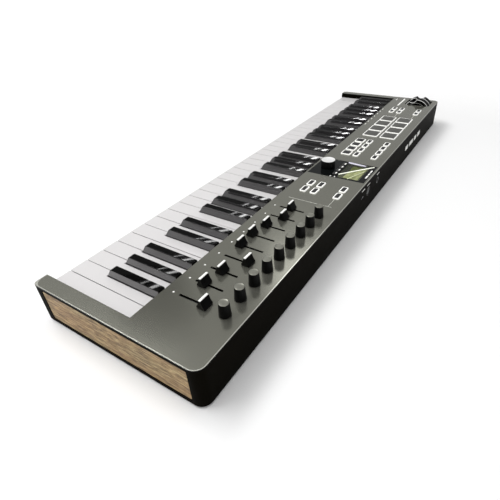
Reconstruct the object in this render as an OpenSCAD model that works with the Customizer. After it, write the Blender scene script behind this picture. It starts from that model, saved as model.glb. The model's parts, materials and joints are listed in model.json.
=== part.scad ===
// Sixty-one key MIDI controller keyboard with wooden end panels.
// X runs along the keys, bass (low) to treble (high). Y runs from the player to the rear. Z is up.
// The origin is on the table, under the middle of the instrument.

/* [Case] */
// Overall length, bass end to treble end
body_l = 884; // [884:1:900]
// Overall depth, front lip to rear face
body_d = 235; // [235:1:238]
// Height of the case, from its floor to the top panel
case_h = 51; // [51:0.5:54]
// Height of the rubber feet below the floor
foot_h = 2.5; // [2:0.5:4]
// Corner radius at the rear, seen from above
rear_r = 12; // [10:1:14]
// Corner radius at the front, seen from above
front_r = 6; // [4:1:8]
// Thickness of the top panel
plate_t = 2.6; // [2:0.1:3]

/* [Keys] */
// Width of one white key with its gap
key_pitch = 23.5; // [23.3:0.1:23.5]
// Gap between neighbouring white keys
key_gap = 1; // [0.8:0.1:1.4]
// Height of the panel above the white keys
key_drop = 9.8; // [9:0.1:11]
// Height of a black key above the white keys
black_rise = 11; // [9:0.5:11.5]
// Width of a black key at its base
black_w = 11; // [10:0.1:11]

/* [Controls] */
// Distance between neighbouring faders, and between neighbouring knobs
strip_pitch = 25.9; // [25:0.1:26]
// Travel of a fader
fader_travel = 30; // [28:1:30]
// Where each fader stands, from its front stop, treble side first
fader_at = [29.9, 8.8, 12.9, 29.9, 2.4, 1.4, 6.2, 16.7, 13.8];
// Height of a knob's top above the panel
knob_rise = 16.5; // [14:0.5:18]
// Radius of the main encoder
encoder_r = 11.5; // [10:0.5:12]
// Radius of the pitch and modulation wheels
wheel_r = 29; // [27:0.5:29]
// How far the modulation wheel's notch is turned towards the player
mod_turn = 20; // [0:1:25]

/* [Hidden] */
$fn = 48;
half_l = body_l / 2;
half_d = body_d / 2;
panel_z = foot_h + case_h;        // upper face of the top panel
under_z = panel_z - plate_t;      // lower face of the top panel
key_z = panel_z - key_drop;       // top of the white keys
floor_t = 2.5;
floor_z = foot_h + floor_t;       // upper face of the case floor
wall = 2.6;
end_t = 8;                        // thickness of the end walls, which carry the wood
lip_h = 22;                       // height of the front lip
key_span = 18 * key_pitch;        // half of the thirty-six white keys
arm_x = key_span + key_gap;       // inner face of the arms beside the keys
panel_y = 17.5;                   // front edge of the control panel
key_y = 3 - half_d;               // front face of the white keys
cut_y = -67.1;                    // where a white key narrows between black keys
black_y = -65.9;                  // front of a black key's base
pivot_y = 27;
pivot_z = 31;
pivot_r = 1.5;
run_gap = 0.05;                   // running clearance round shafts and rods
slip = 0.3;                       // gap round a cap in its opening
black_x = [21.15, 49.35, 90.64, 117.5, 144.36]; // black key centres from a C key's left edge
octave = 7 * key_pitch;
top_octave_x = key_span - 8 * key_pitch;

strip_x = 374.8;                  // fader and knob nearest the treble end
fader_y0 = 40.7;                  // fader at its front stop
slot_w = 3;
slot_end = 3.3;                   // slot beyond the stem's centre at each stop
stem_w = 1.2;
stem_d = 5;
knob_y = 95.9;
shaft_r = 3;
pot_h = 6.5;
board_z = 38.4;
board_t = 1.6;
board_top = board_z + board_t;

cap_w = 17.5;                     // button cap along X
cap_d = 9.5;                      // button cap along Y
cap_rise = 1.5;                   // button top above the panel
cap_pitch = 22;
row_y = [43.7, 60.2, 96.3];       // button rows, front to rear
left_x = -341.3;                  // first button of the left cluster
daw_x = -118.3;                   // first button of the middle cluster
right_x = 83.3;                   // first button of the right cluster
tall_y = 46.2;                    // long buttons of the middle cluster
tall_d = 16.7;
daw_y = 64.2;
pad_w = 30.5;
pad_d = 28.5;
pad_pitch = 33.3;
pad_x = -264.1;
pad_y = [52.8, 86.4];
pad_rise = 1.2;

inset_x = 16;                     // middle of the display inset
inset_w = 66;
inset_y = [20.2, 114];
inset_t = 2;
inset_z = panel_z - 0.2;          // upper face of the display inset
screen_w = 47;
screen_y = [69.5, 101.5];
film_t = 0.3;
key4_w = 10;
key4_d = 7;
key4_pitch = 13;
key4_y = 62.2;
encoder_y = 41;
encoder_rise = 12.5;

well_x = [-430, -386];            // wheel opening
well_y = [53.5, 106.5];
wheel_w = 17;
wheel_y = 80;
wheel_z = panel_z - 17.5;
axle_r = 2.5;
wheel_x = [-418.5, -397.5];
notch_r = 10;
notch_out = 4.5;

socket_z = 34;
usb_x = 57;
midi_x = 31.5;
pedal_x = -12;
foot_at = [[-400, -92], [0, -92], [400, -92], [-400, 92], [0, 92], [400, 92]];
post_r = 3.2;                     // bosses under the top panel
post_h = 8;
column_r = 4.8;                   // columns in the case that carry the bosses
column_top = under_z - post_h;
web_z = column_top - 2;           // underside of each column's web, where the screw head seats
screw_r = 1.5;
head_h = 1.7;
post_at = [[-430.5, -106], [430.5, -106], [-430.5, -20], [430.5, -20], [-350, 111],
           [-210, 111], [-70, 111], [110, 111], [250, 111], [390, 111]];

LOOSE_KEYS = ["key_c5", "key_c_sharp5", "key_d5", "key_d_sharp5", "key_e5", "key_f5", "key_f_sharp5",
              "key_g5", "key_g_sharp5", "key_a5", "key_a_sharp5", "key_b5", "key_c6"];

// ---- shared shapes ----

// A rectangle with its own corner radius at the front (low Y) and at the rear.
module rounded(x0, x1, y0, y1, rf, rr) {
    polygon([[x0 + rf, y0], [x1 - rf, y0], [x1, y0 + rf], [x1, y1 - rr],
             [x1 - rr, y1], [x0 + rr, y1], [x0, y1 - rr], [x0, y0 + rf]]);
    for (c = [[x0 + rf, y0 + rf, rf], [x1 - rf, y0 + rf, rf], [x1 - rr, y1 - rr, rr], [x0 + rr, y1 - rr, rr]])
        translate([c[0], c[1]]) circle(c[2]);
}

// The outline of the whole instrument, seen from above.
module plan() {
    rounded(-half_l, half_l, -half_d, half_d, front_r, rear_r);
}

// A block given by its lowest and highest corners.
module block(a, b) {
    translate(a) cube(b - a);
}

// A rounded cap, or the opening for one when grow is above zero.
module cap(x, y, w, d, z0, z1, r, grow = 0) {
    translate([x, y, z0]) linear_extrude(z1 - z0)
        rounded(-w / 2 - grow, w / 2 + grow, -d / 2 - grow, d / 2 + grow, r + grow, r + grow);
}

// A round bar along X.
module bar(x0, x1, y, z, r) {
    translate([x0, y, z]) rotate([0, 90, 0]) cylinder(r = r, h = x1 - x0);
}

// A round bar along Y.
module plug(x, y0, y1, z, r) {
    translate([x, y1, z]) rotate([90, 0, 0]) cylinder(r = r, h = y1 - y0);
}

function strip(n) = strip_x - strip_pitch * (n - 1);

// ---- button positions: each entry is [x, y, width along X, depth along Y] ----

function pair(x, y) = [for (i = [0:1]) [x + i * cap_pitch, y, cap_w, cap_d]];
function six(x) = concat(pair(x, row_y[0]), pair(x, row_y[1]), pair(x, row_y[2]));
daw_caps = [for (i = [0:3]) each [[daw_x + i * cap_pitch, tall_y, cap_w, tall_d],
                                  [daw_x + i * cap_pitch, daw_y, cap_w, cap_d]]];
transport_caps = [for (i = [0:3]) [daw_x + i * cap_pitch, row_y[2], cap_w, cap_d]];
pad_caps = [for (y = pad_y) for (i = [0:3]) [pad_x + i * pad_pitch, y, pad_w, pad_d]];
screen_caps = [for (i = [0:3]) [inset_x + (i - 1.5) * key4_pitch, key4_y, key4_w, key4_d]];

module caps(list, z0, z1, r = 2, grow = 0) {
    for (c = list) cap(c[0], c[1], c[2], c[3], z0, z1, r, grow);
}

// ---- case ----

module bottom_case() {
    color([0.08, 0.08, 0.07]) difference() {
        union() {
            difference() {
                translate([0, 0, foot_h]) linear_extrude(case_h - plate_t) plan();
                block([end_t - half_l, 2 - half_d, floor_z], [half_l - end_t, half_d - wall, panel_z]);
                // The keys show above a low front lip.
                block([-arm_x, -half_d - 1, floor_z + lip_h], [arm_x, 3 - half_d, panel_z]);
            }
            // Columns that meet the bosses of the top panel.
            for (p = post_at) translate([p[0], p[1], floor_z - 1]) cylinder(r = column_r, h = column_top - floor_z + 1);
            // Cheek walls beside the outermost keys.
            for (s = [-1, 1])
                translate([s * (arm_x + 1), (panel_y - half_d + 1.5) / 2, (floor_z + under_z) / 2 - 0.5])
                    cube([2, panel_y + half_d - 1.5, under_z - floor_z + 1], center = true);
        }
        // The wood panels sit in shallow pockets.
        for (s = [-1, 1])
            translate([s * half_l, 0, (panel_z + foot_h) / 2])
                cube([10, 207, 41.4], center = true);
        // The cheek walls stop under the top panel.
        block([-half_l - 1, -half_d - 1, under_z], [half_l + 1, half_d + 1, panel_z + 1]);
        // Sockets in the rear wall.
        plug(midi_x, half_d - wall - 1, half_d + 1, socket_z, 7.7);
        plug(pedal_x, half_d - wall - 1, half_d + 1, socket_z, 5.6);
        block([usb_x - 4.6, half_d - wall - 1, socket_z - 1.8], [usb_x + 4.6, half_d + 1, socket_z + 1.8]);
        // Screws come up inside the columns and seat against their webs.
        for (p = post_at) {
            translate([p[0], p[1], foot_h - 1]) cylinder(r = 3, h = web_z - foot_h + 1);
            translate([p[0], p[1], web_z - 1]) cylinder(r = screw_r + 0.2, h = 4);
        }
        for (p = foot_at) translate([p[0], p[1], foot_h - 1]) cylinder(r = 9, h = 2);
    }
}

module top_panel() {
    color([0.42, 0.42, 0.38]) difference() {
        union() {
            translate([0, 0, under_z]) linear_extrude(plate_t) difference() {
                plan();
                translate([-arm_x, -half_d - 1]) square([2 * arm_x, panel_y + half_d + 1]);
            }
            // Turned-down edge behind the keys.
            block([-arm_x, panel_y, key_z + 1.5], [arm_x, panel_y + 2, under_z + 1]);
            for (p = post_at) translate([p[0], p[1], column_top]) cylinder(r = post_r, h = post_h + 1);
        }
        for (p = post_at) translate([p[0], p[1], column_top - 1]) cylinder(r = screw_r, h = post_h + 1);
        for (n = [1:9]) {
            block([strip(n) - slot_w / 2, fader_y0 - slot_end, under_z - 1],
                  [strip(n) + slot_w / 2, fader_y0 + fader_travel + slot_end, panel_z + 1]);
            translate([strip(n), knob_y, under_z - 1]) cylinder(r = 4.2, h = plate_t + 2);
        }
        block([inset_x - inset_w / 2, inset_y[0], under_z - 1], [inset_x + inset_w / 2, inset_y[1], panel_z + 1]);
        caps(concat(six(left_x), daw_caps, transport_caps, six(right_x)), under_z - 1, panel_z + 1, 2, slip);
        caps(pad_caps, under_z - 1, panel_z + 1, 2, slip);
        cap((well_x[0] + well_x[1]) / 2, (well_y[0] + well_y[1]) / 2, well_x[1] - well_x[0],
            well_y[1] - well_y[0], under_z - 1, panel_z + 1, 3);
    }
}

module wood_cheek(s) {
    // Slightly sunk in its pocket, with softly rounded ends.
    translate([s < 0 ? 0.4 - half_l : half_l - 5, 0, (panel_z + foot_h) / 2])
        rotate([90, 0, 90]) linear_extrude(4.6) rounded(-103.4, 103.4, -20.6, 20.6, 3, 3);
}

module wood_cheek_left() {
    color([0.62, 0.49, 0.34]) wood_cheek(-1);
}

module wood_cheek_right() {
    color([0.62, 0.49, 0.34]) wood_cheek(1);
}

module rubber_feet() {
    color([0.1, 0.1, 0.1]) for (p = foot_at) translate([p[0], p[1], 0]) cylinder(r = 8.9, h = foot_h + 1);
}

module case_screws() {
    color([0.3, 0.3, 0.32]) for (p = post_at) translate([p[0], p[1], web_z - head_h]) difference() {
        union() {
            cylinder(r = 2.8, h = head_h);
            cylinder(r = screw_r, h = head_h + 9);
        }
        translate([0, 0, -1]) cylinder(r = 1.1, h = 1.9, $fn = 6);
    }
}

// ---- key bed ----

rest_y = [-90, -80];              // felt that stops the keys
board_y = [-30, 14];              // contact board

module keybed_frame() {
    color([0.35, 0.35, 0.36]) difference() {
        union() {
            block([-420, -110, floor_z], [420, 34, floor_z + 2]);
            // Rail under the felt.
            block([-420, rest_y[0], floor_z + 1], [420, rest_y[1], floor_z + 5]);
            // Guide posts inside the white keys.
            for (i = [0:35]) {
                x = key_pitch * (i + 0.5) - key_span;
                block([x - 4, -105, floor_z + 1], [x + 4, -99, floor_z + 24]);
            }
            // Ledges under the contact board.
            for (y = board_y)
                block([-418, y - 1.5, floor_z + 1], [418, y + 1.5, floor_z + 6]);
            // Brackets that hold the pivot rod.
            for (i = [0:5]) for (k = [0, 3]) if (i < 5 || k == 0) rod_bracket(i * octave + k * key_pitch - key_span);
            rod_bracket(key_span);
        }
        bar(-arm_x, arm_x, pivot_y, pivot_z, pivot_r);
    }
}

module rod_bracket(x) {
    shift = x < 1 - key_span ? 1.7 : (x > key_span - 1 ? -1.7 : 0);
    block([x + shift - 1.5, 21.5, floor_z + 1], [x + shift + 1.5, 33.5, pivot_z + 4.5]);
}

module key_pivot_rod() {
    color([0.7, 0.7, 0.72]) bar(-key_span, key_span, pivot_y, pivot_z, pivot_r);
}

module key_felt() {
    color([0.55, 0.12, 0.12]) block([-419, rest_y[0] + 0.5, floor_z + 5], [419, rest_y[1] - 0.5, floor_z + 9]);
}

module contact_board() {
    color([0.1, 0.35, 0.2]) {
        block([-418, board_y[0] - 2, floor_z + 6], [418, board_y[1] + 2, floor_z + 7.6]);
        // Rubber domes, one under each key.
        for (x = key_centres()) translate([x, dome_y, floor_z + 7.6]) cylinder(r = 3.5, h = 6);
    }
}

dome_y = -8;
white_lo = [0, 27.55, 55.75, 70.5, 97.04, 123.9, 150.76];     // narrow part of each white key, left side
white_hi = [14.75, 42.95, 70.5, 84.24, 111.1, 137.96, 164.5]; // and right side
function narrow_lo(i) = white_lo[i] + (i == 0 || i == 3 ? key_gap / 2 : 0);
function narrow_hi(i) = white_hi[i] - (i == 2 || i == 6 ? key_gap / 2 : 0);
function narrow_mid(i) = (narrow_lo(i) + narrow_hi(i)) / 2;
function key_centres() = [for (o = [0:4]) each concat(
    [for (i = [0:6]) o * octave - key_span + narrow_mid(i)],
    [for (c = black_x) o * octave - key_span + c]), key_span - key_pitch / 2];

// The rear of any key: a narrow tail with the pivot bore, and the plunger over its contact.
module key_tail(x) {
    difference() {
        union() {
            block([x - 4, 14, pivot_z - 5.5], [x + 4, pivot_y, pivot_z + 5.5]);
            bar(x - 4, x + 4, pivot_y, pivot_z, 5.5);
            block([x - 2.5, dome_y - 2.5, floor_z + 17.4], [x + 2.5, dome_y + 2.5, pivot_z + 6]);
        }
        bar(x - 5, x + 5, pivot_y, pivot_z, pivot_r + run_gap);
    }
}

// A white key from x0, narrow between lo and hi where the black keys stand.
module white_key(x0, lo, hi) {
    w = key_pitch - key_gap;
    color([0.93, 0.92, 0.9]) union() {
        difference() {
            block([x0 + key_gap / 2, key_y, key_z - 20], [x0 + key_gap / 2 + w, cut_y, key_z]);
            block([x0 + key_gap / 2 + 1.8, key_y + 1.8, key_z - 21], [x0 + w + key_gap / 2 - 1.8, cut_y - 1.8, key_z - 2.5]);
        }
        block([x0 + lo, cut_y - 1, key_z - 12], [x0 + hi, 20.5, key_z]);
        key_tail(x0 + (lo + hi) / 2);
    }
}

// The i-th white key of an octave that starts at x.
module octave_white(x, i) {
    white_key(x + i * key_pitch, narrow_lo(i) - i * key_pitch, narrow_hi(i) - i * key_pitch);
}

// A black key: sloping front, sides that lean in towards the top.
module black_key(x) {
    top_z = key_z + black_rise;
    low_z = key_z - 10;
    color([0.05, 0.05, 0.05]) union() {
        intersection() {
            translate([x - black_w / 2, 0, 0]) rotate([90, 0, 90]) linear_extrude(black_w)
                polygon([[black_y, low_z], [16.4, low_z], [16.4, top_z], [black_y + 9, top_z],
                         [black_y + 6.5, top_z - 1], [black_y + 0.6, key_z + 1], [black_y, key_z]]);
            translate([x, 17, 0]) rotate([90, 0, 0]) linear_extrude(90)
                polygon([[-black_w / 2, low_z], [black_w / 2, low_z], [black_w / 2, key_z],
                         [black_w / 2 - 0.8, top_z], [0.8 - black_w / 2, top_z], [-black_w / 2, key_z]]);
        }
        block([x - 4, 13, low_z], [x + 4, 20.5, key_z - 0.5]);
        key_tail(x);
    }
}

// One key of the top octave by its number of semitones above C.
module loose_key(n) {
    white = [0, -1, 1, -1, 2, 3, -1, 4, -1, 5, -1, 6];
    black = [-1, 0, -1, 1, -1, -1, 2, -1, 3, -1, 4, -1];
    if (n == 12) white_key(key_span - key_pitch, key_gap / 2, key_pitch - key_gap / 2);
    else if (white[n] >= 0) octave_white(top_octave_x, white[n]);
    else black_key(top_octave_x + black_x[black[n]]);
}

module white_keys_low() {
    for (o = [0:3]) for (i = [0:6]) octave_white(o * octave - key_span, i);
}

module black_keys_low() {
    for (o = [0:3]) for (c = black_x) black_key(o * octave - key_span + c);
}

// ---- control board with its faders' tracks and its rotary pots ----

module control_board() {
    color([0.12, 0.3, 0.2]) difference() {
        union() {
            block([-378, 36, board_z], [424, 103, board_top]);
            for (n = [1:9]) {
                block([strip(n) - 4.5, fader_y0 - slot_end - 1.4, board_top - 0.5],
                      [strip(n) + 4.5, fader_y0 + fader_travel + slot_end + 2, under_z - 1.2]);
                pot(strip(n), knob_y, 5.5);
            }
            pot(inset_x, encoder_y, 6);
        }
        for (n = [1:9]) {
            block([strip(n) - 0.8, fader_y0 - slot_end, board_top + 1.5],
                  [strip(n) + 0.8, fader_y0 + fader_travel + slot_end, under_z]);
            pot_bore(strip(n), knob_y);
        }
        pot_bore(inset_x, encoder_y);
    }
}

module pot(x, y, half) {
    block([x - half, y - half, board_top - 0.5], [x + half, y + half, board_top + pot_h]);
    translate([x, y, board_top]) cylinder(r = 3.9, h = panel_z - board_top - 3);
}

module pot_bore(x, y) {
    translate([x, y, board_top + 1]) cylinder(r = shaft_r + run_gap, h = 20);
}

// ---- display ----

module display_bezel() {
    color([0.03, 0.03, 0.03]) difference() {
        block([inset_x - inset_w / 2 + 0.1, inset_y[0] + 0.1, inset_z - inset_t],
              [inset_x + inset_w / 2 - 0.1, inset_y[1] - 0.1, inset_z]);
        block([inset_x + 3.5 - screen_w / 2, screen_y[0], inset_z - 3], [inset_x + 3.5 + screen_w / 2, screen_y[1], inset_z + 1]);
        caps(screen_caps, inset_z - 3, inset_z + 1, 1, slip);
        translate([inset_x, encoder_y, inset_z - 3]) cylinder(r = 4.2, h = 5);
    }
}

module display_screen() {
    color([0.35, 0.4, 0.2]) union() {
        block([inset_x + 3.6 - screen_w / 2, screen_y[0] + 0.1, inset_z - 3],
              [inset_x + 3.4 + screen_w / 2, screen_y[1] - 0.1, inset_z - 0.3]);
        block([inset_x + 1 - screen_w / 2, screen_y[0] - 2.5, inset_z - 5.5],
              [inset_x + 6 + screen_w / 2, screen_y[1] + 3, inset_z - inset_t - 0.2]);
    }
}

module display_film() {
    color([0.8, 0.85, 0.7]) block([inset_x - 31, screen_y[0] - 1.5, inset_z], [inset_x + 31, screen_y[1] + 4, inset_z + film_t]);
}

// ---- sockets ----

module usb_socket() {
    color([0.75, 0.75, 0.77]) difference() {
        cap_y(usb_x, socket_z, 9, 3.4, half_d - 9, half_d - 0.2, 1.5);
        difference() {
            cap_y(usb_x, socket_z, 8.4, 2.8, half_d - 7, half_d + 1, 1.3);
            block([usb_x - 3.3, half_d - 7, socket_z - 0.35], [usb_x + 3.3, half_d - 1, socket_z + 0.35]);
        }
    }
}

// A rounded block whose rounding is seen along Y.
module cap_y(x, z, w, h, y0, y1, r) {
    translate([x, y1, z]) rotate([90, 0, 0]) linear_extrude(y1 - y0)
        rounded(-w / 2, w / 2, -h / 2, h / 2, r, r);
}

module midi_socket() {
    color([0.12, 0.12, 0.12]) difference() {
        union() {
            block([midi_x - 9.5, 104, socket_z - 9.5], [midi_x + 9.5, half_d - wall - 0.1, socket_z + 9.5]);
            plug(midi_x, 110, half_d - 0.2, socket_z, 7.6);
        }
        // Ring groove for the plug's shell and five contact holes.
        difference() {
            plug(midi_x, 108, half_d + 1, socket_z, 7);
            plug(midi_x, 107, half_d - 0.6, socket_z, 6);
        }
        for (a = [0:45:180])
            plug(midi_x + 3.9 * cos(a), 108, half_d + 1, socket_z + 3.9 * sin(a) - 1, 0.8);
    }
}

module pedal_socket() {
    color([0.14, 0.14, 0.14]) difference() {
        union() {
            block([pedal_x - 7, 104, socket_z - 7], [pedal_x + 7, half_d - wall - 0.1, socket_z + 7]);
            plug(pedal_x, 110, half_d - 0.2, socket_z, 5.5);
        }
        plug(pedal_x, 104.8, half_d + 1, socket_z, 3.25);
    }
}

// ---- wheels ----

module wheel_housing() {
    half = wheel_r + 1;
    color([0.06, 0.06, 0.06]) union() {
        difference() {
            block([well_x[0] - 1.3, wheel_y - half - 1.2, floor_z], [well_x[1] + 1.3, wheel_y + half + 1.2, under_z - 0.1]);
            block([well_x[0], wheel_y - half, floor_z + 1.2], [well_x[1], wheel_y + half, panel_z]);
        }
        bar(well_x[0] - 1, well_x[1] + 1, wheel_y, wheel_z, axle_r);
        // Spacer on the axle between the wheels.
        bar(wheel_x[0] + wheel_w / 2 + 0.2, wheel_x[1] - wheel_w / 2 - 0.2, wheel_y, wheel_z, axle_r + 2);
    }
}

module thumb_wheel(x, turn) {
    color([0.07, 0.07, 0.07]) difference() {
        bar(x - wheel_w / 2, x + wheel_w / 2, wheel_y, wheel_z, wheel_r);
        bar(x - wheel_w, x + wheel_w, wheel_y, wheel_z, axle_r + run_gap);
        translate([0, wheel_y, wheel_z]) rotate([turn, 0, 0]) translate([0, -wheel_y, -wheel_z])
            bar(x - wheel_w, x + wheel_w, wheel_y, wheel_z + wheel_r + notch_out, notch_r);
        // Lightening recesses on both faces.
        for (s = [-1, 1]) difference() {
            bar(x + s * wheel_w / 2 - 4, x + s * wheel_w / 2 + 4, wheel_y, wheel_z, wheel_r - 8);
            bar(x - wheel_w, x + wheel_w, wheel_y, wheel_z, axle_r + 3);
        }
    }
}

module pitch_wheel() {
    thumb_wheel(wheel_x[0], 0);
}

module mod_wheel() {
    thumb_wheel(wheel_x[1], mod_turn);
}

// ---- faders, knobs, encoder ----

module fader(n) {
    y = fader_y0 + fader_at[n - 1];
    z = panel_z + 0.6;
    color([0.05, 0.05, 0.05]) union() {
        translate([strip(n) - 6.7, y, z]) rotate([90, 0, 90]) linear_extrude(13.4)
            polygon([[-5.5, 0], [5.5, 0], [5.5, 1.6], [4.2, 3.4], [2.3, 7], [1.5, 10.9],
                     [-1.5, 10.9], [-2.3, 7], [-4.2, 3.4], [-5.5, 1.6]]);
        block([strip(n) - stem_w / 2, y - stem_d / 2, board_top + 3], [strip(n) + stem_w / 2, y + stem_d / 2, z + 2]);
    }
}

module knob(n) {
    color([0.05, 0.05, 0.05]) translate([strip(n), knob_y, 0]) union() {
        translate([0, 0, panel_z + 0.5]) cylinder(r1 = 6.5, r2 = 5.4, h = knob_rise - 1.1);
        translate([0, 0, panel_z + knob_rise - 0.6]) cylinder(r1 = 5.4, r2 = 4.9, h = 0.6);
        translate([0, 0, board_top + 1.5]) cylinder(r = shaft_r, h = panel_z - board_top);
    }
}

module encoder_knob() {
    color([0.8, 0.8, 0.8]) translate([inset_x, encoder_y, 0]) union() {
        translate([0, 0, panel_z + 0.6]) cylinder(r = encoder_r, h = encoder_rise - 1.2);
        translate([0, 0, panel_z + encoder_rise - 0.6]) cylinder(r1 = encoder_r, r2 = encoder_r - 0.6, h = 0.6);
        translate([0, 0, board_top + 1.5]) cylinder(r = shaft_r, h = panel_z - board_top);
    }
}

// ---- pads and buttons ----

module drum_pads() {
    color([0.55, 0.55, 0.53]) caps(pad_caps, under_z - 4, panel_z + pad_rise);
}

module left_buttons() {
    color([0.8, 0.8, 0.78]) caps(six(left_x), under_z - 6, panel_z + cap_rise);
}

module daw_buttons() {
    color([0.8, 0.8, 0.78]) caps(daw_caps, under_z - 6, panel_z + cap_rise);
}

module transport_buttons() {
    color([0.8, 0.8, 0.78]) caps(transport_caps, under_z - 6, panel_z + cap_rise);
}

module right_buttons() {
    color([0.8, 0.8, 0.78]) caps(six(right_x), under_z - 6, panel_z + cap_rise);
}

module screen_buttons() {
    color([0.6, 0.6, 0.6]) caps(screen_caps, under_z - 6, panel_z + cap_rise, 1);
}

bottom_case();
top_panel();
wood_cheek_left();
wood_cheek_right();
keybed_frame();
key_pivot_rod();
key_felt();
contact_board();
control_board();
display_bezel();
display_screen();
display_film();
usb_socket();
midi_socket();
pedal_socket();
rubber_feet();
case_screws();
wheel_housing();
for (i = [0:12]) loose_key(i);
white_keys_low();
black_keys_low();
for (n = [1:9]) fader(n);
for (n = [1:9]) knob(n);
encoder_knob();
pitch_wheel();
mod_wheel();
drum_pads();
left_buttons();
daw_buttons();
transport_buttons();
screen_buttons();
right_buttons();
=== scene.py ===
"""Sixty-one key MIDI controller keyboard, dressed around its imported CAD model.

The CAD nodes of the case, keys, wheels, sockets and inner parts keep their shape and get rounded edges and
materials. Fader, knob and encoder caps, buttons, pads, printed marks and the display's peeling film are
detailed pieces of their own. Lengths are written in millimetres and turned into metres by mm(), except in
the studio, which is written in metres.
"""

import json
import math

import bmesh
import bpy
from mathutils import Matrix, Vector


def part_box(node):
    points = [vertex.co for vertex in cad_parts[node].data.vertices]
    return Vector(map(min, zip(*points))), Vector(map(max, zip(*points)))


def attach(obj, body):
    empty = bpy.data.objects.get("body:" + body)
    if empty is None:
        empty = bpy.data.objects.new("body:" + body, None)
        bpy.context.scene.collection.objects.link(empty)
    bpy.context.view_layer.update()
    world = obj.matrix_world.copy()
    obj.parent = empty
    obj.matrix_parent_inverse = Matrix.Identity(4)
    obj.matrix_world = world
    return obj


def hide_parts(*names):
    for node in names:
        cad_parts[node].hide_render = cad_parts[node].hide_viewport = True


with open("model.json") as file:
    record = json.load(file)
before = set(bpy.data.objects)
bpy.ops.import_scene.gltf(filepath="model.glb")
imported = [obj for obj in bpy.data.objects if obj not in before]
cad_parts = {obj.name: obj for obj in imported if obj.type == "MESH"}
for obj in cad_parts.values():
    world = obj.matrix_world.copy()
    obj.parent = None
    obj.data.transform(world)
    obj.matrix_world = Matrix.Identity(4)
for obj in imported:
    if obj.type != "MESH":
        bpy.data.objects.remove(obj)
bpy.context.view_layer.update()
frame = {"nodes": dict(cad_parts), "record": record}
NODES = frame["nodes"]
SLOT_OF = {part["node"]: part["material_slot"] for part in frame["record"]["subparts"]}


def mm(value):
    return value * 0.001


def box_mm(node):
    low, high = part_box(node)
    return low * 1000, high * 1000


def middle(node):
    low, high = box_mm(node)
    return (low + high) / 2


def top_of(node):
    return box_mm(node)[1].z


# ---- places and sizes, mm ----

PANEL_HIGH = box_mm("top_panel")[1]
PANEL_Z = PANEL_HIGH.z
REAR_Y = PANEL_HIGH.y
BEZEL_TOP = top_of("display_bezel")
FILM_Z = box_mm("display_film")[0].z

STRIPS = range(1, 10)         # one fader and one knob each
PRINT_T = 0.06                # printed marks and button faces stand this far above their surface
PRINT_SINK = 0.02             # and printed marks start this far below it
OUTLINE_R = 12                # corner radius of the panel seen from above
HIGHLIGHT_RIM_W = 1.1                   # width of the painted highlight along its rim

# The display's active area, and the line along which its film is folded back.
ACTIVE_X, ACTIVE_W = 17.5, 50
ACTIVE_Y, ACTIVE_D = 90.3, 25
CREASE_BASS = Vector((-14.2, 109))
CREASE_TREBLE = Vector((35.5, 67.6))


# ---- shader nodes ----

def node_tree(name):
    material = bpy.data.materials.new(name)
    material.use_nodes = True
    shader = material.node_tree.nodes["Principled BSDF"]
    return material, material.node_tree, shader


def feed(tree, socket, value):
    """Joins another node's output to a socket, or sets the socket to a plain value."""
    if isinstance(value, bpy.types.NodeSocket):
        tree.links.new(value, socket)
    else:
        socket.default_value = value


def wire(tree, node, **inputs):
    """Feeds a node's inputs by name, with underscores for spaces."""
    for name, value in inputs.items():
        feed(tree, node.inputs[name.replace("_", " ")], value)


def add(tree, kind, settings=(), **inputs):
    """One shader node with its settings and its inputs."""
    node = tree.nodes.new(kind)
    for key, value in settings:
        setattr(node, key, value)
    wire(tree, node, **inputs)
    return node


def object_coordinates(tree, stretch=(1, 1, 1)):
    coordinates = add(tree, "ShaderNodeTexCoord")
    mapping = add(tree, "ShaderNodeMapping", Vector=coordinates.outputs["Object"], Scale=stretch)
    return mapping.outputs["Vector"]


def separate(tree, vector):
    """The X, Y and Z outputs of a vector."""
    return add(tree, "ShaderNodeSeparateXYZ", Vector=vector).outputs


def facing(tree):
    """Which way the surface faces, as X, Y and Z outputs."""
    return separate(tree, add(tree, "ShaderNodeNewGeometry").outputs["True Normal"])


def noise(tree, vector, scale, detail=4, roughness=0.55):
    node = add(tree, "ShaderNodeTexNoise", Vector=vector, Scale=scale, Detail=detail, Roughness=roughness)
    return node.outputs["Fac"]


def rgba(colour):
    return (*colour, 1)


def shade(colour, factor):
    return tuple(min(1, channel * factor) for channel in colour)


def ramp(tree, value, stops):
    """A colour ramp: stops are (position, colour)."""
    node = add(tree, "ShaderNodeValToRGB", Fac=value)
    elements = node.color_ramp.elements
    while len(elements) < len(stops):
        elements.new(0.5)
    for element, (position, colour) in zip(elements, stops):
        element.position = position
        element.color = rgba(colour)
    return node.outputs["Color"]


def remap(tree, value, low, high, start=0, end=1):
    """Takes start to low and end to high, and holds the result between them."""
    node = add(tree, "ShaderNodeMapRange", Value=value, From_Min=start, From_Max=end, To_Min=low, To_Max=high)
    return node.outputs["Result"]


def mix(tree, factor, first, second, blend="MIX"):
    """A colour from first to second as factor goes from 0 to 1."""
    node = add(tree, "ShaderNodeMix", [("data_type", "RGBA"), ("blend_type", blend)], A=first, B=second)
    feed(tree, node.inputs[0], factor)
    return node.outputs["Result"]


def arithmetic(tree, operation, *values):
    """A math node: the values are sockets or plain numbers."""
    node = add(tree, "ShaderNodeMath", [("operation", operation)])
    for socket, value in zip(node.inputs, values):
        feed(tree, socket, value)
    return node.outputs["Value"]


def vector_arithmetic(tree, operation, first, second=(0, 0, 0)):
    node = add(tree, "ShaderNodeVectorMath", [("operation", operation)])
    feed(tree, node.inputs[0], first)
    feed(tree, node.inputs[1], second)
    return node.outputs["Value" if operation == "LENGTH" else "Vector"]


def within(tree, place, centre, width):
    """One where a coordinate lies in a band of this centre and width, mm, and zero elsewhere."""
    return arithmetic(tree, "COMPARE", place, mm(centre), mm(width / 2))


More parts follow.
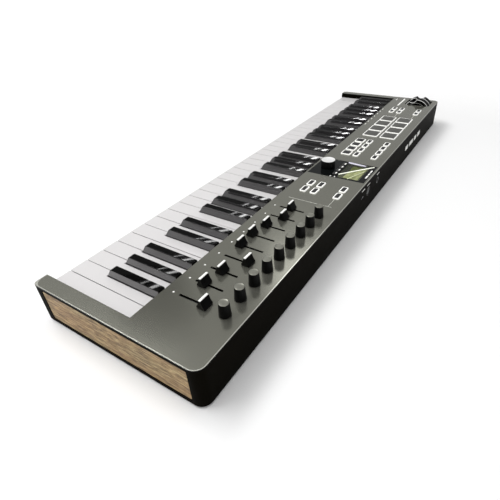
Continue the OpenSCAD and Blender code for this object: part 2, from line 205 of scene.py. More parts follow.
def bump(tree, shader, height, strength, depth):
    """Relief from a height: depth is in mm."""
    node = add(tree, "ShaderNodeBump", Height=height, Strength=strength, Distance=mm(depth))
    wire(tree, shader, Normal=node.outputs["Normal"])


def base_colour(shader):
    return shader.inputs["Base Color"].links[0].from_socket


# ---- materials: noise scales are per metre, depths are in mm ----

def moulded(name, colour, roughness, grain=900, grain_depth=0.04, spread=0.12, coat=0.0, metallic=0.0,
            specular=0.5, glow=0.0, mottle=0.15):
    """Plastic, paint or rubber: a little cloudiness in colour and gloss, and a fine grain."""
    material, tree, shader = node_tree(name)
    vector = object_coordinates(tree)
    cloud = noise(tree, vector, 35, 3)
    gloss = noise(tree, vector, 160, 5)
    stops = [(0.3, shade(colour, 1 - spread)), (0.7, shade(colour, 1 + spread))]
    wire(tree, shader, Metallic=metallic, Specular_IOR_Level=specular, Coat_Weight=coat, Coat_Roughness=0.12,
         Base_Color=ramp(tree, cloud, stops),
         Roughness=remap(tree, gloss, roughness * (1 - mottle), roughness * (1 + mottle)),
         Emission_Color=rgba(colour), Emission_Strength=glow)
    bump(tree, shader, noise(tree, vector, grain, 2), 0.35, grain_depth)
    return material


WHITE_INK = (0.86, 0.86, 0.83)


def case_plastic(name, colour, roughness, specular, bars):
    """Black case plastic with plain white bars printed on the rear wall: (x, z, width, height), mm."""
    material = moulded(name, colour, roughness, specular=specular)
    tree = material.node_tree
    shader = tree.nodes["Principled BSDF"]
    axes = separate(tree, object_coordinates(tree))
    printed = None
    for x, z, width, height in bars:
        along = within(tree, axes["X"], x, width)
        upward = within(tree, axes["Z"], z, height)
        bar = arithmetic(tree, "MULTIPLY", along, upward)
        printed = bar if printed is None else arithmetic(tree, "MAXIMUM", printed, bar)
    outside = within(tree, axes["Y"], REAR_Y, 1)
    ink = arithmetic(tree, "MULTIPLY", printed, outside)
    wire(tree, shader, Base_Color=mix(tree, ink, base_colour(shader), rgba(WHITE_INK)))
    return material


def wood_grain(name):
    """Tan-brown wood: short dark flecks and pores along Y over broad redder and yellower patches."""
    material, tree, shader = node_tree(name)
    flecks = (300, 62, 640)
    patches = (9, 9, 40)
    pore, brown, tan = (0.09, 0.045, 0.015), (0.28, 0.175, 0.065), (0.58, 0.43, 0.22)
    redder, yellower = (1, 0.9, 0.8), (0.92, 1, 0.98)
    fibres = noise(tree, object_coordinates(tree, flecks), 1, 8, 0.75)
    light = ramp(tree, fibres, [(0.38, pore), (0.5, brown), (0.62, tan)])
    cloud = noise(tree, object_coordinates(tree, patches), 1, 3)
    tint = ramp(tree, cloud, [(0.35, redder), (0.65, yellower)])
    wire(tree, shader, Base_Color=mix(tree, 1, light, tint, "MULTIPLY"),
         Roughness=remap(tree, fibres, 0.62, 0.42))
    bump(tree, shader, fibres, 0.5, 0.2)
    return material


def panel_paint(name, colour):
    """Satin metallic paint, with a pale rim along the panel's outline, a painted highlight, and black edges
    below it, painted shade.
    """
    material = moulded(name, colour, 0.19, grain=1500, grain_depth=0, spread=0.02, mottle=0.02)
    tree = material.node_tree
    shader = tree.nodes["Principled BSDF"]
    highlight_rim_colour, painted_shade_colour = (0.62, 0.62, 0.56), (0.003, 0.0026, 0.002)
    # How far outside the inner rectangle of the rounded outline a point lies.
    corner = (mm(PANEL_HIGH.x - OUTLINE_R), mm(PANEL_HIGH.y - OUTLINE_R), 0)
    place = vector_arithmetic(tree, "ABSOLUTE", object_coordinates(tree, (1, 1, 0)))
    past = vector_arithmetic(tree, "SUBTRACT", place, corner)
    outward = vector_arithmetic(tree, "LENGTH", vector_arithmetic(tree, "MAXIMUM", past))
    # A pale band along the top's outline: a painted highlight.
    rim = arithmetic(tree, "GREATER_THAN", outward, mm(OUTLINE_R - HIGHLIGHT_RIM_W))
    upward = arithmetic(tree, "GREATER_THAN", facing(tree)["Z"], 0.35)
    top = mix(tree, rim, base_colour(shader), rgba(highlight_rim_colour))
    # Faces that don't face upwards are black: painted shade.
    wire(tree, shader, Base_Color=mix(tree, upward, rgba(painted_shade_colour), top),
         Specular_IOR_Level=remap(tree, upward, 0.01, 0.5),
         Metallic=arithmetic(tree, "MULTIPLY", upward, 0.75))
    return material


def turned_metal(name, colour, roughness):
    """Metal with fine rings from turning, about the encoder's own axis."""
    material, tree, shader = node_tree(name)
    centre = middle("encoder_knob")
    vector = object_coordinates(tree)
    about_axis = vector_arithmetic(tree, "SUBTRACT", vector, (mm(centre.x), mm(centre.y), 0))
    rings = add(tree, "ShaderNodeTexWave", [("wave_type", "RINGS"), ("rings_direction", "Z")],
                Vector=about_axis, Scale=420, Distortion=0.3).outputs["Fac"]
    wire(tree, shader, Metallic=0.35, Base_Color=ramp(tree, rings, [(0, shade(colour, 0.9)), (1, colour)]),
         Roughness=remap(tree, noise(tree, vector, 300), roughness * 0.8, roughness * 1.2))
    bump(tree, shader, rings, 0.2, 0.03)
    return material


def black_key_gloss(name):
    """Dark polished tops over glossy lacquered sides whose lighter base colour is a painted reflection, told
    apart by which way the surface faces.
    """
    material, tree, shader = node_tree(name)
    top_colour, side_reflection_colour = (0.003, 0.003, 0.003), (0.03, 0.029, 0.03)
    sideways = arithmetic(tree, "ABSOLUTE", facing(tree)["X"])
    side = remap(tree, sideways, 0, 1, 0.6, 0.9)
    vector = object_coordinates(tree, (1, 0.3, 1))
    # The sides' lighter colour is a painted reflection; the tops keep the keys' own near-black.
    wire(tree, shader, Base_Color=ramp(tree, side, [(0, top_colour), (1, side_reflection_colour)]),
         Specular_IOR_Level=remap(tree, side, 0.035, 0.6), Coat_Weight=side, Coat_Roughness=0.1,
         Roughness=remap(tree, noise(tree, vector, 250, 5), 0.01, 0.06))
    bump(tree, shader, noise(tree, vector, 500, 3), 0.3, 0.006)
    return material


def wheel_rubber(name):
    """Black rubber with a pale rounded edge on the treble side, a painted highlight, told by its slant."""
    material, tree, shader = node_tree(name)
    black, pale_sheen = (0.003, 0.003, 0.003), (0.85, 0.85, 0.83)
    vector = object_coordinates(tree)
    # The pale band on the slanted edge faces is a painted highlight.
    edge = ramp(tree, facing(tree)["X"], [(0.2, black), (0.3, pale_sheen), (0.93, pale_sheen), (0.98, black)])
    wire(tree, shader, Base_Color=edge, Specular_IOR_Level=0.03,
         Roughness=remap(tree, noise(tree, vector, 200), 0.3, 0.4))
    bump(tree, shader, noise(tree, vector, 900, 2), 0.3, 0.03)
    return material


def woven_felt(name, colour):
    material, tree, shader = node_tree(name)
    fuzz = noise(tree, object_coordinates(tree), 700, 8, 0.7)
    wire(tree, shader, Base_Color=ramp(tree, fuzz, [(0.3, shade(colour, 0.6)), (0.75, shade(colour, 1.4))]),
         Roughness=0.95, Sheen_Weight=0.5)
    bump(tree, shader, fuzz, 0.9, 0.5)
    return material


def lit_screen(name):
    """Dark glass with an olive active area, paler on the treble side where the film still touches it: the
    film's own cast with its sheen painted in.
    """
    material, tree, shader = node_tree(name)
    vector = object_coordinates(tree)
    axes = separate(tree, vector)
    active = arithmetic(tree, "MULTIPLY", within(tree, axes["X"], ACTIVE_X, ACTIVE_W),
                        within(tree, axes["Y"], ACTIVE_Y, ACTIVE_D))
    # Which side of the fold: the sign of the distance from the line through its two ends.
    side = (CREASE_TREBLE - CREASE_BASS).normalized().orthogonal()
    offset = arithmetic(tree, "MULTIPLY", axes["Y"], side.y)
    place = arithmetic(tree, "MULTIPLY_ADD", axes["X"], side.x, offset)
    covered = arithmetic(tree, "GREATER_THAN", place, mm(CREASE_BASS.dot(side)))
    rows = add(tree, "ShaderNodeTexBrick", [("offset", 0.0)], Vector=vector, Scale=1, Mortar_Size=mm(0.4),
               Brick_Width=mm(8.5), Row_Height=mm(6.5), Color1=rgba((0.065, 0.082, 0.012)),
               Color2=rgba((0.08, 0.1, 0.018)), Mortar=rgba((0.05, 0.065, 0.01)))
    cloud = noise(tree, object_coordinates(tree, (1, 2.5, 1)), 75, 3)
    # The paler tone under the film is partly the film's cast and partly a painted sheen.
    pale_sheen = ramp(tree, cloud, [(0.38, (0.17, 0.19, 0.06)), (0.66, (0.38, 0.4, 0.19))])
    tones = mix(tree, covered, rows.outputs["Color"], pale_sheen)
    wire(tree, shader, Base_Color=mix(tree, active, rgba((0.006, 0.006, 0.008)), tones),
         Roughness=remap(tree, cloud, 0.08, 0.16), Specular_IOR_Level=0.15)
    return material


def clear_film(name, alpha):
    """Thin protective film with a green cast and soft wrinkles."""
    material, tree, shader = node_tree(name)
    wrinkle = noise(tree, object_coordinates(tree, (1, 2.2, 1)), 60, 3)
    cast = ramp(tree, wrinkle, [(0.35, (0.6, 0.66, 0.32)), (0.7, (0.85, 0.88, 0.6))])
    wire(tree, shader, Base_Color=cast, Roughness=0.12, Alpha=alpha)
    bump(tree, shader, wrinkle, 0.5, 0.6)
    return material


def circuit(name):
    """Near-black solder mask with faint tracks under it."""
    material, tree, shader = node_tree(name)
    tracks = add(tree, "ShaderNodeTexVoronoi", [("feature", "DISTANCE_TO_EDGE")],
                 Vector=object_coordinates(tree), Scale=160)
    stops = [(0.03, (0.035, 0.04, 0.036)), (0.08, (0.008, 0.012, 0.01))]
    wire(tree, shader, Base_Color=ramp(tree, tracks.outputs["Distance"], stops), Roughness=0.35)
    return material


# Bars in place of the printing on the rear wall: (x, z, width, height), mm.
SOCKET_BARS = [(-11, 46, 12, 1.6), (33.5, 46, 13, 1.6), (56, 46, 12, 1.6)]
NAME_BARS = [(-275, 28.5, 20, 9), (-248, 28.5, 16, 9), (-218, 28.5, 28, 9), (-186, 28.5, 18, 9)]

# One material for each slot of the record.
MATERIALS = {
    "case_black": case_plastic("case_black", (0.003, 0.0024, 0.0012), 0.45, 0.007, SOCKET_BARS + NAME_BARS),
    "panel_grey": panel_paint("panel_grey", (0.245, 0.245, 0.208)),
    "wood": wood_grain("wood"),
    "frame_grey": moulded("frame_grey", (0.12, 0.12, 0.125), 0.5),
    "steel": moulded("steel", (0.55, 0.55, 0.57), 0.25, metallic=1),
    "felt": woven_felt("felt", (0.3, 0.03, 0.04)),
    "circuit_board": circuit("circuit_board"),
    "gloss_black": moulded("gloss_black", (0.004, 0.005, 0.005), 0.06, grain_depth=0.002, specular=0.1),
    "screen": lit_screen("screen"),
    "film": clear_film("film", 0.06),
    "socket_steel": moulded("socket_steel", (0.6, 0.6, 0.62), 0.25, metallic=1),
    "socket_black": moulded("socket_black", (0.02, 0.02, 0.02), 0.35),
    "rubber": moulded("rubber", (0.02, 0.02, 0.02), 0.75),
    "screw_steel": moulded("screw_steel", (0.2, 0.2, 0.21), 0.3, metallic=1),
    "key_white": moulded("key_white", (0.69, 0.675, 0.675), 0.22, grain=300, grain_depth=0.006, spread=0.01,
                         coat=0.4),
    "key_black": black_key_gloss("key_black"),
    "encoder_metal": turned_metal("encoder_metal", (0.95, 0.95, 0.94), 0.35),
    "wheel_black": wheel_rubber("wheel_black"),
    "cap_black": moulded("cap_black", (0.003, 0.003, 0.003), 0.4, specular=0.08),
    "pad_silicone": moulded("pad_silicone", (0.86, 0.86, 0.83), 0.5, spread=0.04, glow=0.3),
    "button_silicone": moulded("button_silicone", (0.88, 0.88, 0.85), 0.42, spread=0.04, glow=0.35),
}

# Materials of the added details.
# The white print also glows a little: painted light that brightens it.
PRINT_WHITE = moulded("print_white", WHITE_INK, 0.5, spread=0.03, glow=0.15)
PRINT_GREY = moulded("print_grey", (0.42, 0.42, 0.38), 0.5)
FACE_BLACK = moulded("face_black", (0.012, 0.012, 0.012), 0.45)
PAD_FACE = moulded("pad_face", (0.07, 0.07, 0.062), 0.42)
CAP_LINE = moulded("cap_line", (0.93, 0.93, 0.9), 0.35, spread=0.03)
KNOB_TOP = moulded("knob_top", (0.25, 0.25, 0.215), 0.3, grain_depth=0.004, spread=0.05, metallic=0.75)
# The crease's pale colour is a painted highlight on its ridge.
CREASE_HIGHLIGHT = moulded("crease_highlight", (0.6, 0.65, 0.4), 0.3)
# The fold's ridge is near-white and glows a little: a painted highlight.
FOLD_HIGHLIGHT = moulded("fold_highlight", (0.93, 0.95, 0.82), 0.3, glow=0.3)
FILM_CLEAR = clear_film("film_clear", 0.015)
# The curled free edge's lilac colour is painted glare.
EDGE_GLARE = moulded("film_edge_glare", (0.62, 0.6, 0.72), 0.3)


# ---- mesh building ----

SHARP_ANGLE = 35      # edges that turn by more than this many degrees are sharp
EDGE_STEPS = 3        # rings that round a block's top edge
SMALLEST_R = 0.05     # mm


def vertices(bm, points):
    return [bm.verts.new((mm(x), mm(y), mm(z))) for x, y, z in points]


def bridge(bm, lower, upper):
    count = len(lower)
    for i in range(count):
        j = (i + 1) % count
        bm.faces.new((lower[i], lower[j], upper[j], upper[i]))


def loft(bm, rings):
    """A closed solid through rings of vertices, from the first to the last."""
    for lower, upper in zip(rings, rings[1:]):
        bridge(bm, lower, upper)
    bm.faces.new(list(reversed(rings[0])))
    bm.faces.new(rings[-1])


def outline(x, y, w, d, r, steps):
    """A rounded rectangle, counter-clockwise, as (x, y) points."""
    points = []
    for sx, sy, start in [(1, 1, 0), (-1, 1, 90), (-1, -1, 180), (1, -1, 270)]:
        for i in range(steps + 1):
            angle = math.radians(start + 90 * i / steps)
            points.append((x + sx * (w / 2 - r) + r * math.cos(angle),
                           y + sy * (d / 2 - r) + r * math.sin(angle)))
    return points


def slab(bm, x, y, w, d, r, z0, z1, edge=0.0, steps=5):
    """A rounded block from z0 to z1 whose top edge is rounded by edge."""
    levels = [(0.0, z0), (0.0, z1 - edge)]
    if edge:
        for i in range(1, EDGE_STEPS + 1):
            angle = math.radians(90 * i / EDGE_STEPS)
            levels.append((edge * (1 - math.cos(angle)), z1 - edge + edge * math.sin(angle)))
    rings = []
    for inset, z in levels:
        points = outline(x, y, w - 2 * inset, d - 2 * inset, max(r - inset, SMALLEST_R), steps)
        rings.append(vertices(bm, [(px, py, z) for px, py in points]))
    loft(bm, rings)


def lathe(bm, centre, top, profile, steps=48):
    """A closed body of revolution about Z: profile is (radius, depth below top) from the bottom up."""
    turns = [2 * math.pi * i / steps for i in range(steps)]
    rings = []
    for radius, depth in profile:
        rings.append(vertices(bm, [(centre.x + radius * math.cos(turn), centre.y + radius * math.sin(turn),
                                    top - depth) for turn in turns]))
    loft(bm, rings)


def paint(obj, material):
    obj.data.materials.clear()
    obj.data.materials.append(material)


def new_object(name, bm):
    """An object in the scene from a finished bmesh."""
    mesh = bpy.data.meshes.new(name)
    bm.to_mesh(mesh)
    bm.free()
    obj = bpy.data.objects.new(name, mesh)
    bpy.context.scene.collection.objects.link(obj)
    return obj


def piece(name, body, slot, material, build, *args):
    """A new mesh made by build(bm, ...), riding on a body."""
    bm = bmesh.new()
    build(bm, *args)
    bmesh.ops.recalc_face_normals(bm, faces=bm.faces)
    obj = new_object(name, bm)
    obj.data.polygons.foreach_set("use_smooth", [True] * len(obj.data.polygons))
    obj.data.set_sharp_from_angle(angle=math.radians(SHARP_ANGLE))
    paint(obj, material)
    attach(obj, body)
    return obj


# ---- case, keys and inner parts: the CAD shapes with rounded edges ----

# How far edges are rounded, mm, by slot for the keys and by node for the rest.
KEY_EDGES = {"key_white": 0.6, "key_black": 0.7}
EDGES = {
    "bottom_case": 0.5, "top_panel": 0.45, "wood_cheek_left": 0.8, "wood_cheek_right": 0.8,
    "display_bezel": 0.25, "wheel_housing": 0.4, "usb_socket": 0.12, "midi_socket": 0.2,
    "pedal_socket": 0.25, "rubber_feet": 0.5, "case_screws": 0.2, "keybed_frame": 0.3,
    "pitch_wheel": 1.1, "mod_wheel": 1.1,
}


def soften(node, width, segments):
    """Rounds a CAD node's edges with modifiers and gives it its material."""
    obj = NODES[node]
    if "custom_normal" in obj.data.attributes:
        obj.data.attributes.remove(obj.data.attributes["custom_normal"])
    obj.data.polygons.foreach_set("use_smooth", [True] * len(obj.data.polygons))
    weld = obj.modifiers.new("weld", "WELD")
    weld.merge_threshold = mm(0.005)
    flat = obj.modifiers.new("flat", "DECIMATE")
    flat.decimate_type = "DISSOLVE"
    flat.angle_limit = math.radians(1)
    if width:
        edge = obj.modifiers.new("edge", "BEVEL")
        edge.width = mm(width)
        edge.segments = segments
        edge.limit_method = "ANGLE"
        edge.angle_limit = math.radians(SHARP_ANGLE)
        edge.use_clamp_overlap = True
    even = obj.modifiers.new("even", "WEIGHTED_NORMAL")
    even.weight = 100
    even.thresh = 0.001
    paint(obj, MATERIALS[SLOT_OF[node]])


def dress_frame():
    for node in NODES:
        slot = SLOT_OF[node]
        if slot in KEY_EDGES:
            soften(node, KEY_EDGES[slot], 3)
        else:
            soften(node, EDGES.get(node, 0), 2)


# ---- faders ----

# One flank of a cap, as (half depth, height), and its ends, as (distance from the end, scale).
FADER_SIDE = [(5.5, 0), (5.5, 1.5), (5.0, 2.1), (4.1, 3.4), (3.2, 5.0), (2.5, 6.8), (2.0, 8.6), (1.7, 10.3)]
FADER_ENDS = [(0, 0.9), (0.4, 0.98), (0.9, 1)]
FADER_HALF_W = 6.7
FADER_BASE_Z = PANEL_Z + 0.6
FADER_WAIST = 4               # the height that the ends are scaled about
STEM_W, STEM_D, STEM_R = 1.2, 5, 0.3
STEM_DOWN, STEM_UP = 11, 1    # its reach below and above the cap's base
LINE_W, LINE_D, LINE_R = 12.9, 2.9, 0.5
LINE_T, LINE_EDGE = 0.9, 0.3


def fader_cap(bm, centre):
    """A cap with concave flanks that rise to a narrow ridge, extruded along X with softened ends."""
    side = FADER_SIDE + [(-y, z) for y, z in reversed(FADER_SIDE)]
    sections = [(-FADER_HALF_W + inset, scale) for inset, scale in FADER_ENDS]
    sections += [(FADER_HALF_W - inset, scale) for inset, scale in reversed(FADER_ENDS)]
    waist_z = FADER_BASE_Z + FADER_WAIST
    rings = []
    for x, scale in sections:
        rings.append(vertices(bm, [(centre.x + x, centre.y + y * scale, waist_z + (z - FADER_WAIST) * scale)
                                   for y, z in side]))
    loft(bm, rings)
    # The stem goes down through the slot.
    slab(bm, centre.x, centre.y, STEM_W, STEM_D, STEM_R, FADER_BASE_Z - STEM_DOWN, FADER_BASE_Z + STEM_UP)


def faders():
    for n in STRIPS:
        node = f"fader_{n}"
        centre = middle(node)
        top = top_of(node)
        cap = piece(f"fader_cap_{n}", node, "cap_black", MATERIALS["cap_black"], fader_cap, centre)
        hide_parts(node)
        piece(f"fader_line_{n}", node, "button_silicone", CAP_LINE, slab,
              centre.x, centre.y, LINE_W, LINE_D, LINE_R, top - LINE_T, top, LINE_EDGE)


# ---- knobs and encoder: profiles are (radius, depth below the top), from the bottom up ----

KNOB_BODY = [(3, 28.5), (3, 16), (6.2, 16), (6.5, 15.6), (6.45, 14.6), (6.2, 12.5), (5.5, 1.4), (5.4, 1.0),
             (5.2, 0.8), (3, 0.8)]
KNOB_DISC = [(5.0, 0.9), (5.3, 0.7), (5.25, 0.35), (5.0, 0.1), (4.7, 0), (4.4, 0.05), (4.1, 0.2), (2, 0.3),
             (0.4, 0.3)]
ENCODER_SKIRT = [(3, 24), (3, 11.9), (11.2, 11.9), (11.5, 11.5), (11.5, 1.0), (11.3, 0.6), (3, 0.6)]
ENCODER_DISC = [(10.9, 0.7), (11.1, 0.45), (10.9, 0.1), (10.6, 0), (10.1, 0.05), (9.7, 0.3), (4, 0.4),
                (0.4, 0.4)]
ENCODER_STEPS = 96
POINTER_OUT, POINTER_W, POINTER_D, POINTER_R = 2.4, 0.7, 2.8, 0.3
POINTER_FOOT, POINTER_TOP, POINTER_EDGE = 0.4, 0.1, 0.1    # the first two are depths below the top


def knob_disc(bm, centre, top):
    """The top: a thin disc with a rounded rim, and a raised pointer on it."""
    lathe(bm, centre, top, KNOB_DISC)
    slab(bm, centre.x, centre.y + POINTER_OUT, POINTER_W, POINTER_D, POINTER_R,
         top - POINTER_FOOT, top - POINTER_TOP, POINTER_EDGE, 2)


def knobs():
    for n in STRIPS:
        node = f"knob_{n}"
        centre = middle(node)
        top = top_of(node)
        body = piece(f"knob_cap_{n}", node, "cap_black", MATERIALS["cap_black"], lathe,
                     centre, top, KNOB_BODY)
        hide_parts(node)
        piece(f"knob_top_{n}", node, "cap_black", KNOB_TOP, knob_disc, centre, top)


def encoder():
    centre = middle("encoder_knob")
    top = top_of("encoder_knob")
    skirt = piece("encoder_skirt", "encoder_knob", "cap_black", MATERIALS["cap_black"], lathe,
                  centre, top, ENCODER_SKIRT, ENCODER_STEPS)
    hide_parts("encoder_knob")
    piece("encoder_disc", "encoder_knob", "encoder_metal", MATERIALS["encoder_metal"], lathe,
          centre, top, ENCODER_DISC, ENCODER_STEPS)


# ---- printed marks: plain bars, ticks and dots, no lettering, as (x, y, width, depth) ----

FADER_DOTS = [(middle(f"fader_{n}").x, 29.1, 2, 2) for n in STRIPS]
WHEEL_BARS = [(-400, 42.5, 60, 3.4), (-418.5, 26, 13, 1.4)]
KEY_TICKS = [(-215 - 19 * i, 21, 7, 1.2) for i in range(7)]
DIVIDERS = [(138, 68, 1.1, 67), (126.5, 95.8, 23, 1.1), (-297.5, 95.5, 25, 1.1), (-297.5, 60.2, 25, 1.1)]
DISPLAY_BARS = [(4, 110.3, 9, 2.4), (14.5, 110.3, 8, 2.4), (25.5, 110.3, 11, 2.4), (46.3, 58.5, 3, 2),
                (45.6, 65.3, 3, 2)]


def marks(bm, rows, level):
    """Flat marks with rounded corners on the surface at this level."""
    for x, y, w, d in rows:
        slab(bm, x, y, w, d, min(w, d) * 0.3, level - PRINT_SINK, level + PRINT_T, 0, 2)


def printed_marks():
    piece("panel_marks_white", "root", "button_silicone", PRINT_WHITE, marks,
          FADER_DOTS + WHEEL_BARS + KEY_TICKS, PANEL_Z)
    piece("panel_marks_grey", "root", "button_silicone", PRINT_GREY, marks, DIVIDERS, PANEL_Z)
    piece("display_marks", "root", "button_silicone", PRINT_WHITE, marks, DISPLAY_BARS, BEZEL_TOP)


# ---- buttons and pads ----

BUTTON_NODES = ("left_buttons", "daw_buttons", "transport_buttons", "right_buttons")
BUTTON_RIM = 1.6              # silicone left showing round a button's black face
PAD_RIM = 1.7
BUTTON_R = 2                  # corner radius, also of the pads
SCREEN_BUTTON_R = 1
SILICONE_EDGE = 0.45
FACE_R, FACE_SINK, FACE_EDGE = 1.2, 0.1, 0.08
CAP_BAR_W, CAP_BAR_D = 5.6, 2.2
CAP_BAR_IN = 1.9              # from the cap's rear edge to the bar's middle


def islands(node):
    """Lowest and highest corner of each separate solid of a node, mm, found from its loose parts."""
    bm = bmesh.new()
    bm.from_mesh(NODES[node].data)
    bmesh.ops.remove_doubles(bm, verts=bm.verts, dist=mm(0.001))
    seen = set()
    found = []
    for start in bm.verts:
        if start in seen:
            continue
        stack = [start]
        group = []
        seen.add(start)
        while stack:
            vert = stack.pop()
            group.append(vert.co * 1000)
            for edge in vert.link_edges:
                other = edge.other_vert(vert)
                if other not in seen:
                    seen.add(other)
                    stack.append(other)
        low = Vector(min(v[i] for v in group) for i in range(3))
        high = Vector(max(v[i] for v in group) for i in range(3))
        found.append((low, high))
    bm.free()
    return sorted(found, key=lambda pair: (round(pair[0].x, 1), round(pair[0].y, 1)))


def cap_faces(bm, caps, rim):
    """The dark faces set into the silicone, which leave a rim of it showing."""
    for low, high in caps:
        centre = (low + high) / 2
        size = high - low
        slab(bm, centre.x, centre.y, size.x - 2 * rim, size.y - 2 * rim, FACE_R,
             high.z - FACE_SINK, high.z + PRINT_T, FACE_EDGE, 4)


def silicone(bm, caps, radius):
    """The raised bodies, with a soft top edge."""
    for low, high in caps:
        centre = (low + high) / 2
        size = high - low
        slab(bm, centre.x, centre.y, size.x, size.y, radius, low.z, high.z, SILICONE_EDGE)


def rear_bars(bm, caps):
    """A short bar along the rear edge of each cap."""
    for low, high in caps:
        marks(bm, [((low.x + high.x) / 2, high.y - CAP_BAR_IN, CAP_BAR_W, CAP_BAR_D)], high.z)


def buttons():
    for node in BUTTON_NODES:
        caps = islands(node)
        body = piece(f"{node}_silicone", node, "button_silicone", MATERIALS["button_silicone"],
                     silicone, caps, BUTTON_R)
        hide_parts(node)
        piece(f"{node}_faces", node, "cap_black", FACE_BLACK, cap_faces, caps, BUTTON_RIM)


def screen_buttons():
    """The four caps under the display: black, each with a white bar."""
    node = "screen_buttons"
    caps = islands(node)
    body = piece(f"{node}_caps", node, "cap_black", FACE_BLACK, silicone, caps, SCREEN_BUTTON_R)
    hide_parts(node)
    piece(f"{node}_bars", node, "button_silicone", PRINT_WHITE, rear_bars, caps)


def pads():
    caps = islands("drum_pads")
    body = piece("pad_silicone", "drum_pads", "pad_silicone", MATERIALS["pad_silicone"],
                 silicone, caps, BUTTON_R)
    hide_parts("drum_pads")
    piece("pad_faces", "drum_pads", "pad_silicone", PAD_FACE, cap_faces, caps, PAD_RIM)


# ---- the display's protective film, partly peeled: heights are above FILM_Z ----

FLAT_CORNERS = [(35, 68), (45.5, 70), (43.5, 103.5), (-8, 104)]
FLAT_LOW, FLAT_HIGH = 0.02, 0.12
FLAP_EDGE = [Vector((-14, 104)), Vector((-12, 84)), Vector((-6, 70)), Vector((33.5, 67.5))]
FLAP_SPANS = len(FLAP_EDGE) - 1
FLAP_STEPS = 14
FLAP_T = 0.12
FLAP_LIFT, FLAP_CURL, FLAP_RIPPLE = 0.5, 2.6, 0.25
STRIP_STEPS = 10


def film_flat(bm):
    """The part that still sticks, on the treble side of the fold."""
    rings = []
    for lift in (FLAT_LOW, FLAT_HIGH):
        rings.append(vertices(bm, [(x, y, FILM_Z + lift) for x, y in FLAT_CORNERS]))
    loft(bm, rings)


def flap_point(t, v):
    """A place on the lifted sheet: t runs along the fold, v from the fold out to the free edge."""
    inner = CREASE_BASS.lerp(CREASE_TREBLE, 0.08 + 0.9 * t)
    span = min(int(t * FLAP_SPANS), FLAP_SPANS - 1)
    outer = FLAP_EDGE[span].lerp(FLAP_EDGE[span + 1], t * FLAP_SPANS - span)
    spot = inner.lerp(outer, v)
    curl = FLAP_CURL * math.sin(math.pi * t) * v * v
    ripple = FLAP_RIPPLE * math.sin(9 * t + 4 * v) * v
    return spot.x, spot.y, FILM_Z + FLAP_LIFT + curl + ripple


def film_flap(bm):
    """The lifted part: a thin sheet that curls up from the fold towards its free bass-side edge."""
    shares = [i / FLAP_STEPS for i in range(FLAP_STEPS + 1)]
    sheets = []
    for above in (0, FLAP_T):
        rows = []
        for t in shares:
            points = [flap_point(t, v) for v in shares]
            rows.append(vertices(bm, [(x, y, z + above) for x, y, z in points]))
        sheets.append(rows)
    for rows in sheets:
        for i in range(FLAP_STEPS):
            for j in range(FLAP_STEPS):
                bm.faces.new((rows[i][j], rows[i + 1][j], rows[i + 1][j + 1], rows[i][j + 1]))
    under, over = sheets
    rims = [(under[0], over[0]), (under[-1], over[-1]),
            ([row[0] for row in under], [row[0] for row in over]),
            ([row[-1] for row in under], [row[-1] for row in over])]
    for a, b in rims:
        for i in range(FLAP_STEPS):
            bm.faces.new((a[i], a[i + 1], b[i + 1], b[i]))


def crease_section(t, half_width, height):
    """A narrow ridge, highest in the middle of its length."""
    swell = height * (0.4 + 0.6 * math.sin(math.pi * t))
    half = 0.5 * half_width
    return [(-half_width, 0.05), (-half, 0.7 * swell), (0, 1.1 * swell), (half, 0.7 * swell),
            (half_width, 0.05)]


def curl_section(t):
    """A curled edge that widens and then narrows again."""
    width = 0.6 + 1.6 * math.sin(math.pi * (0.15 + 0.85 * t))
    inner = 0.4 * width
    return [(-width, 0.6), (-inner, 1.6), (inner, 1.9), (width, 1.2), (inner, 1.75), (-inner, 1.45)]


def film_strip(bm, start, end, section, *sizes):
    """A strip of film from start to end: section(t, ...) gives its (offset across, height) points."""
    across = (end - start).normalized().orthogonal()
    rings = []
    for i in range(STRIP_STEPS + 1):
        t = i / STRIP_STEPS
        spot = start.lerp(end, t)
        rings.append(vertices(bm, [(spot.x + across.x * offset, spot.y + across.y * offset, FILM_Z + rise)
                                   for offset, rise in section(t, *sizes)]))
    loft(bm, rings)


def display_film():
    flat = piece("film_flat", "root", "film", MATERIALS["film"], film_flat)
    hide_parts("display_film")
    piece("film_flap", "root", "film", FILM_CLEAR, film_flap)
    # The fold's ridge carries a painted highlight.
    piece("film_fold", "root", "film", FOLD_HIGHLIGHT, film_strip, CREASE_BASS, CREASE_TREBLE,
          crease_section, 1.5, 1.0)
    # A second crease, coloured with a painted highlight.
    piece("film_crease", "root", "film", CREASE_HIGHLIGHT, film_strip, Vector((8, 101)), Vector((45, 86)),
          crease_section, 0.9, 0.3)
    # The curled free edge, coloured with painted glare.
    piece("film_edge", "root", "film", EDGE_GLARE, film_strip, Vector((-12.5, 66)), Vector((-9.5, 97)),
          curl_section)


# ---- studio and camera, in metres and watts ----

REACH = 14            # half the floor's width, and the wall's radius
WALL_H = 24
WORLD_LIGHT = 0.45
FLOOR_WHITE = 0.93
GLOW_START, GLOW_END, GLOW_MOST = 0.55, 2.2, 0.75    # distances from the middle, and strength
LAMPS = [             # name, place, aim, size, power
    ("overhead", (0.5, 0.2, 2.5), (0, 0, 0), (3, 3), 26),
    ("key", (0.6, -1.35, 2.3), (0, 0, 0), (2.2, 0.8), 42),
    ("softbox", (-1.103, -0.602, 1.33), (0.285, 0.125, 0), (0.32, 0.32), 0.72),
]
FLAG_PLACE, FLAG_AIM, FLAG_SIZE = (-0.70, -1.53, 1.66), (0.395, 0.02, 0.05), 0.5
STRIP_X, STRIP_Z, STRIP_LENGTH = -2.2, 1.2, 4.2
STRIP_LIGHTS = [(-1.16, 0.02, 14), (-1.25, 0.008, 4)]    # y, width, power

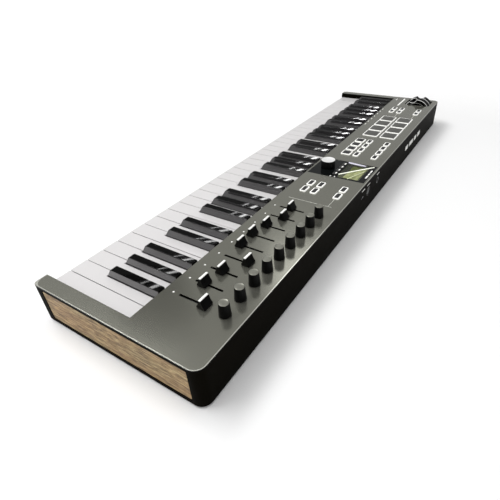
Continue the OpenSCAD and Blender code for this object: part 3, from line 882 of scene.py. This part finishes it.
CAMERA_PLACE = (0.57708, 0.27828, 0.32218)
CAMERA_TURN = (55.163, 2.549, 122.262)    # degrees
LENS, SENSOR = 28.094, 36                 # mm
SHIFT_X, SHIFT_Y = -0.02178, -0.01345     # shares of the picture's width


def white_sweep(name):
    """The studio floor: matt white, and lit from its own far parts so that the horizon is white too."""
    material, tree, shader = node_tree(name)
    distance = vector_arithmetic(tree, "LENGTH", object_coordinates(tree))
    wire(tree, shader, Base_Color=rgba([FLOOR_WHITE] * 3), Roughness=0.7, Emission_Color=(1, 1, 1, 1),
         Emission_Strength=remap(tree, distance, 0, GLOW_MOST, GLOW_START, GLOW_END))
    return material


def aim(obj, place, target):
    obj.location = place
    obj.rotation_euler = (Vector(target) - Vector(place)).to_track_quat("-Z", "Y").to_euler()


def hide_from(obj, rays):
    for kind in rays:
        setattr(obj, f"visible_{kind}", False)


def area_lamp(name, place, target, size, power):
    light = bpy.data.lights.new(name, "AREA")
    light.shape = "RECTANGLE"
    light.size, light.size_y = size
    light.energy = power
    lamp = bpy.data.objects.new(name, light)
    bpy.context.scene.collection.objects.link(lamp)
    aim(lamp, place, target)
    return lamp


def studio_floor():
    bm = bmesh.new()
    corners = [(-REACH, -REACH), (REACH, -REACH), (REACH, REACH), (-REACH, REACH)]
    bm.faces.new([bm.verts.new((x, y, 0)) for x, y in corners])
    floor = new_object("floor", bm)
    paint(floor, white_sweep("floor"))


def studio_wall():
    """A white wall inside the floor's edge that only the camera sees."""
    bm = bmesh.new()
    bmesh.ops.create_cone(bm, segments=64, radius1=REACH, radius2=REACH, depth=WALL_H)
    wall = new_object("wall", bm)
    paint(wall, moulded("wall", (1, 1, 1), 1, spread=0, glow=1))
    hide_from(wall, ("diffuse", "glossy", "transmission", "shadow"))


def studio_world():
    world = bpy.data.worlds.new("studio")
    world.use_nodes = True
    background = world.node_tree.nodes["Background"]
    background.inputs["Color"].default_value = (1, 1, 1, 1)
    background.inputs["Strength"].default_value = WORLD_LIGHT
    bpy.context.scene.world = world


def studio_flag():
    """A black flag that only reflections see: it darkens the panel round the first fader."""
    bm = bmesh.new()
    bmesh.ops.create_grid(bm, x_segments=1, y_segments=1, size=FLAG_SIZE / 2)
    flag = new_object("flag", bm)
    aim(flag, FLAG_PLACE, FLAG_AIM)
    paint(flag, moulded("flag", (0.001, 0.001, 0.001), 0.9, specular=0))
    hide_from(flag, ("camera", "diffuse", "shadow"))


def strip_lights():
    """Two thin strips in front, which light only the black keys."""
    black_keys = bpy.data.collections.new("black_keys")
    for node, slot in SLOT_OF.items():
        if slot == "key_black":
            black_keys.objects.link(NODES[node])
    for y, width, power in STRIP_LIGHTS:
        strip = area_lamp(f"strip_{width}", (STRIP_X, y, STRIP_Z), (STRIP_X, 0, 0),
                          (STRIP_LENGTH, width), power)
        strip.light_linking.receiver_collection = black_keys


def studio():
    bpy.context.scene.view_settings.view_transform = "Standard"
    studio_floor()
    studio_wall()
    studio_world()
    for lamp in LAMPS:
        area_lamp(*lamp)
    studio_flag()
    strip_lights()


def camera():
    data = bpy.data.cameras.new("camera")
    data.lens = LENS
    data.sensor_width = SENSOR
    data.shift_x = SHIFT_X
    data.shift_y = SHIFT_Y
    data.clip_start = 0.01
    obj = bpy.data.objects.new("camera", data)
    obj.location = CAMERA_PLACE
    obj.rotation_euler = [math.radians(turn) for turn in CAMERA_TURN]
    bpy.context.scene.collection.objects.link(obj)
    bpy.context.scene.camera = obj


dress_frame()
faders()
knobs()
encoder()
buttons()
screen_buttons()
pads()
printed_marks()
display_film()
studio()
camera()
